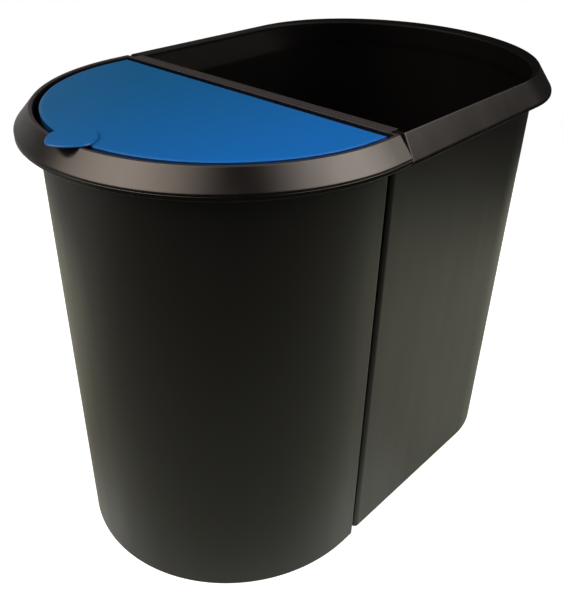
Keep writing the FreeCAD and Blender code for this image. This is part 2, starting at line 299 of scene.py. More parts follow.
# %% The tree that turns a section round the plan
def build_shell_tree():
    tree = bpy.data.node_groups.new("Section Round An Oval Plan", "GeometryNodeTree")
    for name, kind in PLAN_INPUTS:
        tree.interface.new_socket(name, in_out="INPUT", socket_type=kind)
    tree.interface.new_socket("Shell", in_out="OUTPUT", socket_type="NodeSocketGeometry")
    new, link = tree.nodes.new, tree.links.new
    given = new("NodeGroupInput").outputs

    def number(name):
        return Number(tree, given[name])

    size = new("GeometryNodeAttributeDomainSize")
    link(given["Section"], size.inputs["Geometry"])
    rows = Number(tree, size.outputs["Point Count"])
    arc, turn = number("End Steps"), number("Corner Steps")
    columns = arc + turn * 2.0 + 8.0

    grid = new("GeometryNodeMeshGrid")
    rows.to(grid.inputs["Vertices X"])
    columns.to(grid.inputs["Vertices Y"])
    index = Number(tree, new("GeometryNodeInputIndex").outputs[0])
    row = (index / columns + 0.0001).node("FLOOR")
    column = index - row * columns

    (out, z, wall_x, wall_z, flat_x, flat_z,
     radius, peak, opening, spread) = read_section(tree, given["Section"], row)
    side, seam = number("Side"), number("Seam")

    def plan(own, at_peak, at_opening):
        """A plan size: the wall's own, the peak line's or the opening's."""
        base = number(own)
        return base + (number(at_peak) - base) * peak + (number(at_opening) - base) * opening

    middle_x = seam + side * plan("Straight Run", "Peak Straight Run", "Opening Straight Run")
    depth = plan("End Depth", "Peak End Depth", "Opening End Depth") + out
    half = number("Half Width") + out

    # the second half of the columns is the mirror image of the first
    far = (arc + turn + 3.5).below(column)
    place = far.choose(arc * 2.0 + turn * 2.0 + 7.0 - column, column)
    sign = far * -2.0 + 1.0

    angle = (place / arc - 0.5) * math.pi
    end_x = middle_x + side * depth * angle.cosine()
    end_y = half * angle.sine()

    share = (place - arc - 1.0) / turn
    bend = share * (math.pi / 2)
    turn_x = wall_x + side * radius * (bend.sine() * -1.0 + 1.0)
    turn_y = half - radius * (bend.cosine() * -1.0 + 1.0)
    turn_z = z + (wall_z - z) * share

    plate_y = number("Bar Half Length").least(half - radius)
    in_end = place.below(arc + 0.5)
    in_turn = place.below(arc + turn + 1.5)
    in_plate = place.below(arc + turn + 2.5)
    x = in_end.choose(end_x, in_turn.choose(turn_x, in_plate.choose(wall_x, flat_x)))
    y = in_end.choose(end_y, in_turn.choose(turn_y, plate_y)) * sign
    height = in_end.choose(z, in_turn.choose(turn_z, in_plate.choose(wall_z, flat_z)))

    # rows with a spread of 0 meet in one point, in the middle of the bin
    centre_x = seam + side * (number("Straight Run") + number("End Depth")) * 0.5
    x = centre_x + (x - centre_x) * spread
    place_grid(tree, grid, (x, y * spread, height), given["Plastic"])
    return tree


shell_tree = build_shell_tree()
print("shell tree:", len(shell_tree.nodes), "nodes")

# %% [markdown]
# ## From the tree to a plain mesh
#
# The section becomes a mesh whose points carry their values as attributes. The
# modifier's inputs are set by identifier before Blender first evaluates the
# object. The result is copied out as a plain mesh, its thin leftovers are
# removed, and its faces are turned to point outwards.

# %% Running the tree
END_STEPS, CORNER_STEPS = 96, 6


def add_object(name, data):
    thing = bpy.data.objects.new(name, data)
    bpy.context.scene.collection.objects.link(thing)
    return thing


def freeze(piece):
    """Turns what the modifiers make of a piece into its plain mesh."""
    evaluated = piece.evaluated_get(bpy.context.evaluated_depsgraph_get())
    mesh = bpy.data.meshes.new_from_object(evaluated)
    piece.modifiers.clear()
    piece.data = mesh
    return mesh


def section_mesh(name, points):
    mesh = bpy.data.meshes.new(name)
    mesh.from_pydata([(0.0, 0.0, 0.0)] * len(points), [], [])
    for i, field in enumerate(FIELDS):
        values = mesh.attributes.new(field, "FLOAT", "POINT")
        values.data.foreach_set("value", [point[i] for point in points])
    return mesh


def clean(mesh):
    """Tidies a mesh, turns its faces outwards and counts the edges that stay open."""
    work = bmesh.new()
    work.from_mesh(mesh)
    bmesh.ops.remove_doubles(work, verts=work.verts, dist=WELD)
    bmesh.ops.dissolve_degenerate(work, edges=work.edges, dist=WELD / 2)
    bmesh.ops.recalc_face_normals(work, faces=work.faces)
    for face in work.faces:
        face.smooth = True
        face.material_index = 0
    open_edges = sum(1 for edge in work.edges if len(edge.link_faces) != 2)
    work.to_mesh(mesh)
    work.free()
    return open_edges


def shell(name, points, plastic, **sizes):
    """A piece made by the tree: the section's points, turned round the plan."""
    piece = add_object(name, section_mesh(name + "_section", points))
    modifier = piece.modifiers.new("Shell", "NODES")
    modifier.node_group = shell_tree
    values = {"Seam": SEAM_X, "Half Width": HALF, "Bar Half Length": HALF,
              "End Steps": END_STEPS, "Corner Steps": CORNER_STEPS, "Plastic": plastic}
    values.update({key.replace("_", " "): value for key, value in sizes.items()})
    for item in shell_tree.interface.items_tree:
        if item.name in values:
            modifier[item.identifier] = values[item.name]
    bpy.context.view_layer.update()
    mesh = freeze(piece)
    mesh.name = name
    mesh.materials.clear()
    mesh.materials.append(plastic)
    print(name, "faces", len(mesh.polygons), "open edges", clean(mesh))
    return piece


SMALL_PLAN = {"Side": -1.0, "Straight_Run": SMALL_STRAIGHT, "End_Depth": SMALL_END,
              "Peak_Straight_Run": SMALL_STRAIGHT, "Peak_End_Depth": SMALL_END,
              "Opening_Straight_Run": SMALL_STRAIGHT, "Opening_End_Depth": SMALL_END}
LARGE_PLAN = {"Side": 1.0, "Straight_Run": LARGE_STRAIGHT, "End_Depth": LARGE_END,
              "Peak_Straight_Run": PEAK_STRAIGHT, "Peak_End_Depth": PEAK_END,
              "Opening_Straight_Run": OPEN_STRAIGHT, "Opening_End_Depth": OPEN_END}

# %% [markdown]
# ## Plastics
#
# Both bins are black polypropylene with a fine moulded grain, which breaks up
# reflections. Their rims come from a polished part of the mould and shine more.
# The lid is the same plastic in blue. Each finish is a Principled shader whose
# grain comes from noise in object space, so it stays put when the lid moves.

# %% Shader helpers
def linear(red, green, blue):
    """A colour as a screen shows it (0 to 255), in the light that Blender adds up."""
    def one(value):
        value /= 255
        return value / 12.92 if value <= 0.04045 else ((value + 0.055) / 1.055) ** 2.4
    return (one(red), one(green), one(blue), 1.0)


POLYPROPYLENE_IOR = 1.49


def new_plastic(name, colour, gloss):
    """A plastic with its plain colour and roughness, before the nodes refine both."""
    material = bpy.data.materials.new(name)
    material.use_nodes = True
    shader = material.node_tree.nodes["Principled BSDF"]
    shader.inputs["Base Color"].default_value = colour
    shader.inputs["Roughness"].default_value = gloss
    shader.inputs["IOR"].default_value = POLYPROPYLENE_IOR
    return material, material.node_tree, shader


def object_noise(tree, scale, detail=2.0, stretch=(1.0, 1.0, 1.0)):
    """Noise in object space: `scale` is the number of its lumps in one metre."""
    place = tree.nodes.new("ShaderNodeTexCoord")
    mapping = new_node(tree, "ShaderNodeMapping", Scale=stretch)
    noise = new_node(tree, "ShaderNodeTexNoise", Scale=scale, Detail=detail)
    tree.links.new(place.outputs["Object"], mapping.inputs["Vector"])
    tree.links.new(mapping.outputs[0], noise.inputs["Vector"])
    return Number(tree, noise.outputs["Fac"])


def add_bump(tree, shader, height, depth, before=None):
    """Bump of a real depth in metres, on top of an earlier one."""
    bump = new_node(tree, "ShaderNodeBump", Distance=depth)
    height.to(bump.inputs["Height"])
    if before is not None:
        tree.links.new(before.outputs[0], bump.inputs["Normal"])
    tree.links.new(bump.outputs[0], shader.inputs["Normal"])
    return bump


def coordinate(tree, axis):
    """One of the object's own coordinates, in metres."""
    place = tree.nodes.new("ShaderNodeTexCoord")
    parts = tree.nodes.new("ShaderNodeSeparateXYZ")
    tree.links.new(place.outputs["Object"], parts.inputs[0])
    return Number(tree, parts.outputs[axis])


def above(tree, level, blur, axis="Z"):
    """1 where a coordinate is past a level, 0 before it, with a short blend."""
    return ((coordinate(tree, axis) - level) / blur).unit()


def marked(tree, name):
    """A value that a piece carries on its points."""
    attribute = tree.nodes.new("ShaderNodeAttribute")
    attribute.attribute_name = name
    return Number(tree, attribute.outputs["Fac"])


def blend_colours(tree, shader, share, low, high):
    """Gives the shader a colour between two. `low` may be another blend's result."""
    blend = tree.nodes.new("ShaderNodeMix")
    blend.data_type = "RGBA"
    if isinstance(low, tuple):
        blend.inputs["A"].default_value = low
    else:
        tree.links.new(low, blend.inputs["A"])
    blend.inputs["B"].default_value = high
    share.to(blend.inputs["Factor"])
    tree.links.new(blend.outputs["Result"], shader.inputs["Base Color"])
    return blend.outputs["Result"]


# %% [markdown]
# ## Black
#
# The grained walls are duller than the polished rims, and long faint streaks of
# flow run down them. What faces the middle of a bin is left rougher by the
# mould's core, and its reflection is turned down as painted shade; so is the
# edge at the seam, as painted shade between the two rims.
# The top of the collar's bar is painted paler in patches, a painted sheen where light lies on
# it.

# %% The black of the bins
INSIDE = "inside"  # mark on what faces the middle of a bin
BAR_X = SEAM_X - 3.7 * MM
# above this height the collar's top is painted paler, as painted sheen
PAINTED_SHEEN_Z = PEAK_Z - 0.5 * MM
# the strip at the seam is matt, and its reflection is turned down as painted shade
SHADED_SEAM_EDGE = 2.2 * MM  # width of the matt edge at the seam
GRAIN, GRAIN_DEPTH = 1500.0, 0.02 * MM  # moulded grain: lumps in a metre, depth
SWELL, SWELL_DEPTH = 14.0, 0.25 * MM  # slow waves of a thin moulded wall
DULL, POLISH, UNPOLISH = 0.35, 0.15, 0.25  # roughness, what polish takes and the core gives
FLOW, FLOW_STRETCH = 0.12, (1.0, 1.0, 0.12)  # streaks in the roughness, drawn out upright
# an inner face or the seam's strip loses most of its specular level, as painted shade
SHINE, SHADE_SHINE_LOST = 0.5, 0.42  # specular level, and what an inner face loses
# plain black, and the grey of the painted sheen on the collar's top
PLAIN_BLACK, PAINTED_SHEEN_GREY = linear(7, 7, 8), linear(46, 45, 47)
DEEP_BLACK, SOFT_BLACK = linear(5, 5, 6), linear(9, 9, 9)


def make_black(name, polish_above, painted_sheen_top=False):
    """Black plastic, polished above a height. The collar's top is painted paler, as painted
    sheen.
    """
    material, tree, shader = new_plastic(name, PLAIN_BLACK, 0.4)
    if painted_sheen_top:
        # painted sheen: the collar's top is painted paler, in patches
        patches = object_noise(tree, 120.0, 3.0) * 0.6 + 0.7
        painted_sheen = above(tree, PAINTED_SHEEN_Z, 0.2 * MM) * patches
        blend_colours(tree, shader, painted_sheen, PLAIN_BLACK, PAINTED_SHEEN_GREY)
    else:
        blend_colours(tree, shader, object_noise(tree, 9.0, 3.0), DEEP_BLACK, SOFT_BLACK)
    polished = above(tree, polish_above, 1.0 * MM)
    streak = object_noise(tree, 60.0, 3.0, FLOW_STRETCH)
    past_seam = above(tree, LARGE_RIM_X - 0.3 * MM, 0.2 * MM, "X")
    past_edge = above(tree, LARGE_RIM_X + SHADED_SEAM_EDGE, 0.5 * MM, "X")
    # painted shade: inner faces and the strip at the seam are rougher and lose most of their
    # reflection
    matt_and_shaded = (marked(tree, INSIDE) + (past_seam - past_edge)).least(1.0)
    rough = streak * FLOW + DULL - polished * POLISH + matt_and_shaded * polished * UNPOLISH
    rough.to(shader.inputs["Roughness"])
    (matt_and_shaded * -SHADE_SHINE_LOST + SHINE).to(shader.inputs["Specular IOR Level"])
    grain = object_noise(tree, GRAIN, 3.0) * (polished * -0.75 + 1.0)
    swell = add_bump(tree, shader, object_noise(tree, SWELL, 1.0), SWELL_DEPTH)
    add_bump(tree, shader, grain, GRAIN_DEPTH, swell)
    return material


bin_black = make_black("bin black, grained", SKIRT_Z)
collar_black = make_black("collar black, polished", 0.0, painted_sheen_top=True)
print("black finishes:", bin_black.name, "and", collar_black.name)

# %% [markdown]
# ## Blue
#
# The lid's blue is painted a little paler towards the near side, painted light as
# on a coloured sheet under a side light. Its upright edge lies deep in the groove,
# in shade, and is painted darker as painted shade, so that the groove reads as one
# dark line round the lid.

# %% The blue of the lid
LID_EDGE = "lid edge"  # mark on the lid's upright edge
# the dark blue is painted shade on the lid's upright edge
PLAIN_BLUE, SHADED_EDGE_BLUE = linear(12, 84, 150), linear(3, 20, 38)
# far and near blue: the paler near blue is painted light
FAR_BLUE, NEAR_BLUE = linear(9, 75, 122), linear(14, 90, 168)
TONE_SLOPE, TONE_MIDDLE, TONE_CURVE = -5.0, 0.5, 1.5
BLUE_SHINE, BLUE_FLOW, BLUE_DULL = 0.3, 0.08, 0.32


def make_blue():
    material, tree, shader = new_plastic("lid blue, satin", PLAIN_BLUE, 0.36)
    # painted light: the blue is paler towards the near side
    across = coordinate(tree, "Y") * TONE_SLOPE + TONE_MIDDLE
    tone = across.unit().node("POWER", TONE_CURVE) * 0.9 + object_noise(tree, 7.0) * 0.1
    top = blend_colours(tree, shader, tone, FAR_BLUE, NEAR_BLUE)
    # painted shade on the lid's upright edge
    blend_colours(tree, shader, marked(tree, LID_EDGE), top, SHADED_EDGE_BLUE)
    shader.inputs["Specular IOR Level"].default_value = BLUE_SHINE
    rough = object_noise(tree, 40.0, 3.0) * BLUE_FLOW + BLUE_DULL
    rough.to(shader.inputs["Roughness"])
    swell = add_bump(tree, shader, object_noise(tree, 16.0, 1.0), 0.15 * MM)
    add_bump(tree, shader, object_noise(tree, 900.0, 2.0), 0.02 * MM, swell)
    return material


lid_blue = make_blue()
print("blue finish:", lid_blue.name)

# %% [markdown]
# ## The walls
#
# A wall leans in a little on its way down, so that the moulding lets go of its
# mould. Only the small bin's flat wall leans out: it follows the large bin's, so
# the gap between the two stays even. These helpers give a corner on either wall
# at any height, and the two runs of corners that both bins share: the standing
# ring under the bottom, and the floor inside.

# %% Corners on the walls
SMALL_INSET, SMALL_FLAT, LARGE_FLAT = 3.3 * MM, 3.2 * MM, 2.2 * MM
FOOT_EDGE, FOOT_RING, FOOT_RECESS = 1.2 * MM, 7.0 * MM, 1.4 * MM
FLOOR_Z = FOOT_RECESS + WALL
FLOOR_EDGE = 2.5 * MM
LARGE_CORNER, LARGE_CORNER_IN = 4.0 * MM, 1.8 * MM


def bin_wall(side, inset, flat, lean, corners):
    """A function that gives a corner on one bin's wall, at a height."""
    def wall(z, inward=0.0, soft=0.0, **other):
        fall = PEAK_Z - z
        wall_x = SEAM_X + side * (flat + inward) + lean * fall / PEAK_Z
        other.setdefault("corner", corners[inward != 0.0])
        return corner(-(inset + DRAFT * fall + inward), z, wall_x, soft, **other)
    return wall


small_wall = bin_wall(-1.0, SMALL_INSET, SMALL_FLAT, 2.5 * MM, (3.2 * MM, 1.0 * MM))
large_wall = bin_wall(1.0, 4.7 * MM, LARGE_FLAT, 2.0 * MM, (LARGE_CORNER, LARGE_CORNER_IN))


def foot(wall):
    """The section from the middle of the underside to the foot of the wall."""
    return [
        wall(FOOT_RECESS, FOOT_RING, spread=0.0),
        wall(FOOT_RECESS, FOOT_RING, 0.5 * MM, corner=2.0 * MM),
        wall(0.0, FOOT_RING, 0.3 * MM, corner=2.0 * MM),
        wall(0.0, FOOT_EDGE, 0.6 * MM, corner=3.0 * MM),
        wall(FOOT_EDGE, 0.0, 0.6 * MM),
    ]


def inner_floor(wall):
    """The section from the foot of the inner wall to the middle of the bottom."""
    return [
        wall(FLOOR_Z + FLOOR_EDGE, WALL, 1.2 * MM),
        wall(FLOOR_Z, WALL + FLOOR_EDGE, 1.2 * MM),
        wall(FLOOR_Z, WALL + FLOOR_EDGE, spread=0.0),
    ]


print("walls lean in by", round(DRAFT * PEAK_Z / MM, 1), "mm down to the floor")

# %% [markdown]
# The black and the blue both ask where a face looks. The mesh answers: each
# point gets a number from its own normal, and keeps it when the piece moves.

# %% Marks for the finishes
LARGE_MIDDLE_X = SEAM_X + LARGE_STRAIGHT * 0.75
SMALL_MIDDLE_X = SEAM_X - SMALL_END * 0.4
MARK_GAIN = 4.0


def mark_facing(piece, name, centre_x, side=1.0, least=0.0):
    """Stores up to 1 on points that face a piece's middle, or with side -1 away from it."""
    mesh = piece.data
    marks = mesh.attributes.new(name, "FLOAT", "POINT")
    centre = Vector((centre_x, 0.0, 0.0))
    for vertex, mark in zip(mesh.vertices, marks.data):
        facing = side * (centre - vertex.co).xy.normalized().dot(vertex.normal.xy)
        mark.value = min(1.0, max(0.0, (facing - least) * MARK_GAIN))


# %% [markdown]
# ## The large bin
#
# Its rim is a broad band that slopes out from the mouth and hides the top of
# the wall. Seen from above the band is squarer than the mouth, so the rim is
# widest at the two rounded corners. Along the flat wall there is no band: the
# wall stops a little lower, where the collar's bar reaches over it. The ends of
# the rim at the seam are rounder than on the solid, as the highlight there is.

# %% The large bin
OPEN_IN, OPEN_DROP = 2.7 * MM, 2.0 * MM
NECK_Z, FLARE_Z = PEAK_Z - 4.5 * MM, PEAK_Z - 18.0 * MM
FLARE_FOOT_Z = PEAK_Z - 24.0 * MM
SADDLE_Z = PEAK_Z - 2.6 * MM
LARGE_LIP = 0.6 * MM
BAR_HALF = HALF - 7.8 * MM
BAR_CLEAR = 0.7 * MM
flat_out = SEAM_X + LARGE_FLAT
flat_in = flat_out + WALL
band_shift = THIN * math.hypot(1.0, LARGE_OUT / LARGE_DROP)
hollow_z = PEAK_Z - band_shift * LARGE_DROP / LARGE_OUT

below_rim = {"flat_x": flat_out, "flat_z": SKIRT_Z}
at_peak = {"peak": 1.0}
rim_end = {"corner": 3.4 * MM, **below_rim}
rim_top = {**at_peak, "flat_x": flat_out, "flat_z": SADDLE_Z, "corner": 3.4 * MM}
rim_lip = {**at_peak, "flat_x": flat_out + 0.3 * MM, "flat_z": SADDLE_Z}
neck = {**below_rim, "opening": 1.0, "corner": LARGE_CORNER}
at_opening = {"opening": 1.0, "corner": LARGE_CORNER_IN}
plate_in_x = LARGE_RIM_X + THIN
large_section = foot(large_wall) + [
    large_wall(SKIRT_Z, flat_z=SKIRT_Z),
    large_wall(FLARE_Z, 0.0, 1.5 * MM, **below_rim),
    corner(WALL - OPEN_IN, NECK_Z, flat_out, 0.3 * MM, **neck),
    corner(WALL - OPEN_IN, hollow_z, flat_out, 0.3 * MM, **neck),
    corner(0.0, hollow_z, plate_in_x, 0.4 * MM, **at_peak, **below_rim),
    corner(LARGE_OUT - band_shift, PEAK_Z - LARGE_DROP, plate_in_x, 0.6 * MM, **below_rim),
    corner(LARGE_OUT - THIN, SKIRT_Z, plate_in_x, 0.3 * MM, **below_rim),
    corner(LARGE_OUT, SKIRT_Z, LARGE_RIM_X, 0.4 * MM, **rim_end),
    corner(LARGE_OUT, PEAK_Z - LARGE_DROP, LARGE_RIM_X, 1.3 * MM, **rim_end),
    corner(0.0, PEAK_Z, LARGE_RIM_X, 1.0 * MM, **rim_top),
    corner(-LARGE_LIP, PEAK_Z, flat_in, 0.5 * MM, **rim_lip),
    corner(-OPEN_IN, PEAK_Z - OPEN_DROP, flat_in, 1.4 * MM, flat_z=SADDLE_Z, **at_opening),
    corner(-OPEN_IN, NECK_Z, flat_in, 0.8 * MM, **at_opening),
    large_wall(FLARE_FOOT_Z, WALL, 1.5 * MM),
] + inner_floor(large_wall)

large_visual = shell("large_bin_moulding", rounded(large_section), bin_black,
                     Bar_Half_Length=BAR_HALF + BAR_CLEAR, **LARGE_PLAN)
mark_facing(large_visual, INSIDE, LARGE_MIDDLE_X)

# %% [markdown]
# ## The small bin
#
# Its wall ends in a flat flange with a short turned-down edge. The collar sits
# on that flange, so most of it is hidden, and it shows only as a thin dark line
# under the collar.

# %% The small bin
COLLAR_Z = collar_high.z - COLLAR_DROP - 1.0 * MM
FLANGE_Z = small_high.z
FLANGE, FLANGE_EDGE = 2.0 * MM, 2.8 * MM
flange_in_x = SMALL_RIM_X - THIN
small_section = foot(small_wall) + [
    small_wall(FLANGE_Z - FLANGE, 0.0, 0.5 * MM),
    corner(COLLAR_OUT - THIN, FLANGE_Z - FLANGE, flange_in_x, 0.4 * MM),
    corner(COLLAR_OUT - THIN, FLANGE_Z - FLANGE_EDGE, flange_in_x, 0.3 * MM),
    corner(COLLAR_OUT, FLANGE_Z - FLANGE_EDGE, SMALL_RIM_X, 0.4 * MM),
    corner(COLLAR_OUT, FLANGE_Z, SMALL_RIM_X, 0.5 * MM),
    small_wall(FLANGE_Z, WALL, 0.6 * MM),
] + inner_floor(small_wall)

small_visual = shell("small_bin_moulding", rounded(small_section), bin_black, **SMALL_PLAN)
mark_facing(small_visual, INSIDE, SMALL_MIDDLE_X)

# %% [markdown]
# ## The collar
#
# The collar is a thin sloping band like the large rim, but shallower. Inside it
# is a recess with a ledge under the lid, and a ring that drops into the small
# bin. A bar closes its flat side: it reaches over the flat wall of the large
# bin and hooks behind it. The near end of the band stops a little short, which
# opens the seam to the dark line that the photograph shows.

# %% The collar's shell
COLLAR_LIP, RECESS_IN = 0.4 * MM, 3.0 * MM
LEDGE_Z = COLLAR_Z + 2.0 * MM
SPIGOT_Z = collar_low.z
SPIGOT_IN = WALL + 0.4 * MM
BAR_ROUND = 1.2 * MM
BAR_TOP, LEG_TOP = 2.0 * MM, 4.2 * MM
NEAR_END_CUT, NEAR_END_LENGTH = 0.8 * MM, 2.5 * MM
BAND_ROWS = 9
leg_x = BAR_X + THIN
spigot_out = -(SMALL_INSET + DRAFT * (PEAK_Z - SPIGOT_Z) + SPIGOT_IN)
spigot_x = SEAM_X - SMALL_FLAT - SPIGOT_IN
collar_shift = THIN * math.hypot(1.0, COLLAR_OUT / COLLAR_DROP)
skin = -0.6 * MM
under_peak_z = PEAK_Z - (skin + collar_shift) * COLLAR_DROP / COLLAR_OUT
skirt_top_z = PEAK_Z - COLLAR_DROP

at_leg = {"flat_x": leg_x, "flat_z": COLLAR_Z}
at_lid = {"corner": 1.5 * MM}
at_lip = {"corner": 1.5 * MM, "flat_z": PEAK_Z - LEG_TOP}
at_spigot = {"corner": 3.3 * MM}
band_foot = corner(COLLAR_OUT, skirt_top_z, SMALL_RIM_X, 0.9 * MM, **at_leg)
band_peak = corner(0.0, PEAK_Z, SMALL_RIM_X, 0.8 * MM, flat_x=leg_x, flat_z=PEAK_Z - BAR_TOP)
collar_section = [
    corner(COLLAR_OUT, COLLAR_Z, SMALL_RIM_X, 0.3 * MM, **at_leg),
    band_foot,
    *between(band_foot, band_peak, BAND_ROWS),
    band_peak,
    corner(-COLLAR_LIP, PEAK_Z, BAR_X + BAR_ROUND, 0.2 * MM, **at_lip),
    corner(-RECESS_IN, PEAK_Z - 0.1 * MM, BAR_X, 1.8 * MM, **at_lip),
    corner(-RECESS_IN, LEDGE_Z, BAR_X, 0.8 * MM, **at_lid),
    corner(spigot_out - THIN, LEDGE_Z, spigot_x - THIN, 0.5 * MM, **at_lid),
    corner(spigot_out - THIN, SPIGOT_Z, spigot_x - THIN, 0.4 * MM, **at_lid),
    corner(spigot_out, SPIGOT_Z, spigot_x, 0.4 * MM, **at_spigot),
    corner(spigot_out, COLLAR_Z, spigot_x, 0.4 * MM, **at_spigot),
    corner(skin, COLLAR_Z, leg_x, 0.3 * MM),
    corner(skin, under_peak_z, leg_x, 0.3 * MM, flat_z=COLLAR_Z),
    corner(COLLAR_OUT - collar_shift, skirt_top_z, flange_in_x, 0.4 * MM, **at_leg),
    corner(COLLAR_OUT - THIN, COLLAR_Z, flange_in_x, 0.2 * MM, **at_leg),
]
collar_visual = shell("lid_collar_moulding", rounded(collar_section, closed=True), collar_black,
                      Bar_Half_Length=BAR_HALF, End_Steps=220, **SMALL_PLAN)
mark_facing(collar_visual, INSIDE, SMALL_MIDDLE_X)
for vertex in collar_visual.data.vertices:
    if vertex.co.y < -BAR_HALF and vertex.co.x > SMALL_RIM_X - NEAR_END_LENGTH:
        vertex.co.x -= NEAR_END_CUT

# %% [markdown]
# The finger notch is a shallow scoop under the thumb tab, part of a large ball:
# every point of the collar that lies inside the ball is pressed down on to it,
# the inner skin on to a slightly larger ball. The band keeps its thickness that
# way, and its edge stays soft.

# %% The finger notch
NOTCH, NOTCH_DEPTH = 45.0 * MM, 1.0 * MM
notch_centre = Vector((TIP_X + 0.9 * MM, 0.0, PEAK_Z + NOTCH - NOTCH_DEPTH))


def press_notch(mesh, lowest):
    pressed = 0
    for vertex in mesh.vertices:
        away = vertex.co - notch_centre
        inner_skin = vertex.normal.z < 0.0
        radius = NOTCH + THIN if inner_skin else NOTCH
        flat = math.hypot(away.x, away.y)
        if flat >= radius or vertex.co.z < lowest:
            continue
        floor_z = notch_centre.z - math.sqrt(radius ** 2 - flat ** 2)
        if vertex.co.z > floor_z:
            vertex.co.z = floor_z
            pressed += 1
    mesh.update()
    return pressed


print("notch: points pressed", press_notch(collar_visual.data, LEDGE_Z + 0.5 * MM))

# %% [markdown]
# The bar is a straight extrusion, so it is drawn as a plain outline, pulled
# along Y, and given a Bevel modifier. On the lid's side a low leg stands in the
# groove. Its hook stops a little short of its ends, and a thin filler carries
# its flat top out to the band on both sides. As one moulding, all of them join
# the collar's mesh.

# %% Extruding and joining
def bevelled(piece, width, segments):
    """Rounds the sharp edges of a piece and keeps the result as its mesh."""
    bevel = piece.modifiers.new("Round", "BEVEL")
    bevel.width = width
    bevel.segments = segments
    bevel.limit_method = "ANGLE"
    clean(freeze(piece))
    return piece


def extrude(name, outline, half_length, round_edge):
    """An outline in X and Z, pulled to both sides of the middle plane and rounded."""
    count = len(outline)
    points = [(x, y, z) for y in (-half_length, half_length) for x, z in outline]
    faces = [list(range(count)), list(range(2 * count - 1, count - 1, -1))]
    for i in range(count):
        j = (i + 1) % count
        faces.append([i, i + count, j + count, j])
    mesh = bpy.data.meshes.new(name)
    mesh.from_pydata(points, [], faces)
    return bevelled(add_object(name, mesh), round_edge, 4)


def join(main, *others):
    """Joins pieces of one moulding into one object."""
    work = bmesh.new()
    work.from_mesh(main.data)
    for other in others:
        work.from_mesh(other.data)
        bpy.data.objects.remove(other)
    work.to_mesh(main.data)
    work.free()


# %% [markdown]
# The outlines of bar, hook and fillers overlap one another, so no gap shows
# where they meet.

# %% The bar and its hook
bar_end_x = collar_high.x
bar_z, under_bar_z = PEAK_Z - 0.1 * MM, PEAK_Z - BAR_TOP
leg_near_x, leg_low_z = BAR_X + 1.3 * MM, PEAK_Z - LEG_TOP - 0.4 * MM
hook_x = bar_end_x - 2.1 * MM
hook_top_z, hook_low_z = PEAK_Z - 0.8 * MM, PEAK_Z - 14.0 * MM
filler_near_x, filler_end_x = BAR_X + 0.3 * MM, SMALL_RIM_X - 1.2 * MM
filler_z = PEAK_Z - 0.15 * MM
bar = extrude("bar", [
    (leg_x, leg_low_z), (leg_near_x, leg_low_z), (leg_near_x, bar_z),
    (bar_end_x, bar_z), (bar_end_x, under_bar_z), (leg_x, under_bar_z),
], BAR_HALF, 0.2 * MM)
hook = extrude("hook", [
    (hook_x, hook_top_z), (hook_x, hook_low_z), (bar_end_x, hook_low_z), (bar_end_x, hook_top_z),
], BAR_HALF - 4.0 * MM, 0.5 * MM)
bar_ends = extrude("bar ends", [
    (filler_near_x, under_bar_z), (filler_near_x, filler_z),
    (filler_end_x, filler_z), (filler_end_x, under_bar_z),
], HALF - 1.5 * MM, 0.2 * MM)
join(collar_visual, bar, bar_ends, hook)
print("collar with its bar:", len(collar_visual.data.polygons), "faces")

# %% [markdown]
# ## The lid
#
# The lid is a flat tray turned upside down. Its curved edge falls away in a low
# crown. Along the flat side the whole edge is rolled round the hinge axis, so
# that it can turn close to the bar. In the section this is the same row of
# corners: the curved side takes the crown, the flat side the roll. Away from the
# hinge the lid stands up to a millimetre higher than its solid, as the dark line
# under its near edge shows.

# %% The lid's shell
LID_Z = PEAK_Z - 0.8 * MM
LID_RISE, RISE_RUN = 1.0 * MM, 80.0 * MM
LID_IN = 6.8 * MM
LID_WALL = 2.0 * MM
CROWN, CROWN_DROP = 2.6 * MM, 0.9 * MM
LID_FOOT_Z = LID_Z - 6.2 * MM
BARREL = LID_Z - HINGE_Z
ROLL_STEPS = 10
foot_turn = math.pi / 2 + math.asin((HINGE_Z - LID_FOOT_Z) / BARREL)


def lid_row(out, z, turn, radius, **other):
    """A corner with its own place on the roll round the hinge axis."""
    roll_x = HINGE_X + radius * math.sin(turn)
    roll_z = HINGE_Z + radius * math.cos(turn)
    return corner(out, z, roll_x, wall_z=roll_z, corner=1.0 * MM, **other)


lid_under_z, inner_out, inner_roll = LID_Z - LID_WALL, -LID_IN - LID_WALL, BARREL - LID_WALL
quarter = [math.pi / 2 * step / ROLL_STEPS for step in range(ROLL_STEPS + 1)]
lid_section = [lid_row(-LID_IN - CROWN, LID_Z, 0.0, BARREL, spread=0.0)]
for turn in quarter:
    edge_out = -LID_IN - CROWN * (1.0 - math.sin(turn))
    lid_section.append(lid_row(edge_out, LID_Z - CROWN_DROP * math.sin(turn) ** 2, turn, BARREL))
lid_section.append(lid_row(-LID_IN, LID_FOOT_Z, foot_turn, BARREL))
lid_section.append(lid_row(inner_out, LID_FOOT_Z, foot_turn, inner_roll))
for turn in reversed(quarter):
    lid_section.append(lid_row(inner_out, lid_under_z, turn, inner_roll))
lid_section.append(lid_row(inner_out, lid_under_z, 0.0, inner_roll, spread=0.0))

lid_visual = shell("lid_moulding", rounded(lid_section), lid_blue, End_Steps=128, **SMALL_PLAN)
for vertex in lid_visual.data.vertices:
    vertex.co.z += LID_RISE * min(1.0, max(0.0, (HINGE_X - vertex.co.x) / RISE_RUN))
# marks the upright edge, which gets painted shade
mark_facing(lid_visual, LID_EDGE, SMALL_MIDDLE_X, side=-1.0, least=0.7)

